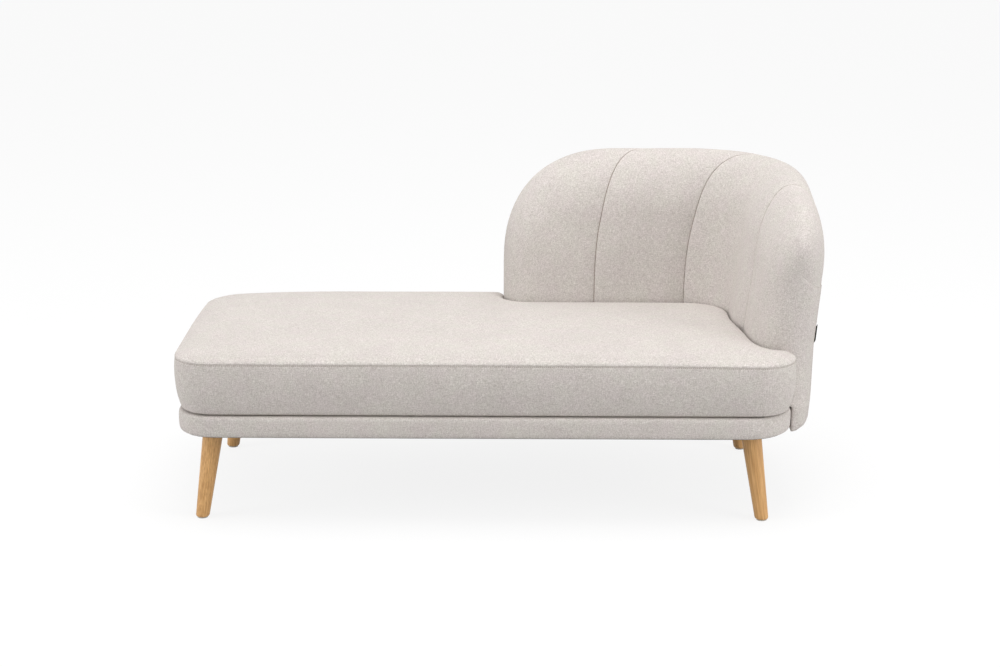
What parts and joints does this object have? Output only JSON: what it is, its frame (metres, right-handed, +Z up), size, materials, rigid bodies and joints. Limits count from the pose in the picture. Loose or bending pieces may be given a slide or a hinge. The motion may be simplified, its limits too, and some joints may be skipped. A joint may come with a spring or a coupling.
{
  "type": "chaise longue",
  "caption": "Backless-ended chaise longue with a thick box cushion, a low channelled backrest that wraps one rear corner, and splayed turned wooden legs.",
  "frame": {"origin": "on the floor, under the middle of the whole piece's outline in plan", "axes": "+X along the seat towards the wrapped end of the backrest, +Y to the rear, +Z up"},
  "size_m": [1.5008, 0.753, 0.7618],
  "materials": {
    "beech_dowel": "fluted beech",
    "black_lining": "spun black lining",
    "black_tag": "plain woven tape, folded",
    "foam": "cut upholstery foam",
    "frame_timber": "planed softwood, unfinished",
    "lining_cloth": "plain calico",
    "nylon_glide": "moulded nylon",
    "oiled_oak": "turned oak, clear satin oil",
    "plywood": "birch plywood, unfinished",
    "upholstery_fabric": "heathered beige weave, matt",
    "webbing": "elastic upholstery webbing",
    "zinc_steel": "zinc plated, dull"
  },
  "bodies": {
    "root": {"back_cover_channel_1": "upholstery_fabric", "back_cover_channel_2": "upholstery_fabric", "back_cover_channel_3": "upholstery_fabric", "back_cover_channel_4": "upholstery_fabric", "back_cover_outer": "upholstery_fabric", "back_foam": "foam", "back_panel_corner": "plywood", "back_panel_end": "plywood", "back_panel_rear": "plywood", "back_post_1": "frame_timber", "back_post_2": "frame_timber", "back_post_3": "frame_timber", "back_post_4": "frame_timber", "back_post_5": "frame_timber", "back_post_6": "frame_timber", "base_cover": "upholstery_fabric", "corner_block_front_left": "frame_timber", "corner_block_front_right": "frame_timber", "corner_block_rear_left": "frame_timber", "corner_block_rear_right": "frame_timber", "cross_rail_1": "frame_timber", "cross_rail_2": "frame_timber", "deck_cloth": "lining_cloth", "dust_cover": "black_lining", "foot_glide_front_left": "nylon_glide", "foot_glide_front_right": "nylon_glide", "foot_glide_rear_left": "nylon_glide", "foot_glide_rear_right": "nylon_glide", "frame_bolts": "zinc_steel", "frame_tee_nuts": "zinc_steel", "frame_washers": "zinc_steel", "front_rail": "frame_timber", "hanger_bolts": "zinc_steel", "left_end_rail": "frame_timber", "leg_front_left": "oiled_oak", "leg_front_right": "oiled_oak", "leg_plate_front_left": "zinc_steel", "leg_plate_front_right": "zinc_steel", "leg_plate_rear_left": "zinc_steel", "leg_plate_rear_right": "zinc_steel", "leg_rear_left": "oiled_oak", "leg_rear_right": "oiled_oak", "plate_screws": "zinc_steel", "rail_dowels": "beech_dowel", "rear_rail": "frame_timber", "right_end_rail": "frame_timber", "seat_cover_border": "upholstery_fabric", "seat_cover_bottom": "upholstery_fabric", "seat_cover_top": "upholstery_fabric", "seat_foam": "foam", "side_tag": "black_tag", "webbing_across": "webbing", "webbing_along": "webbing"}
  },
  "joints": []
}
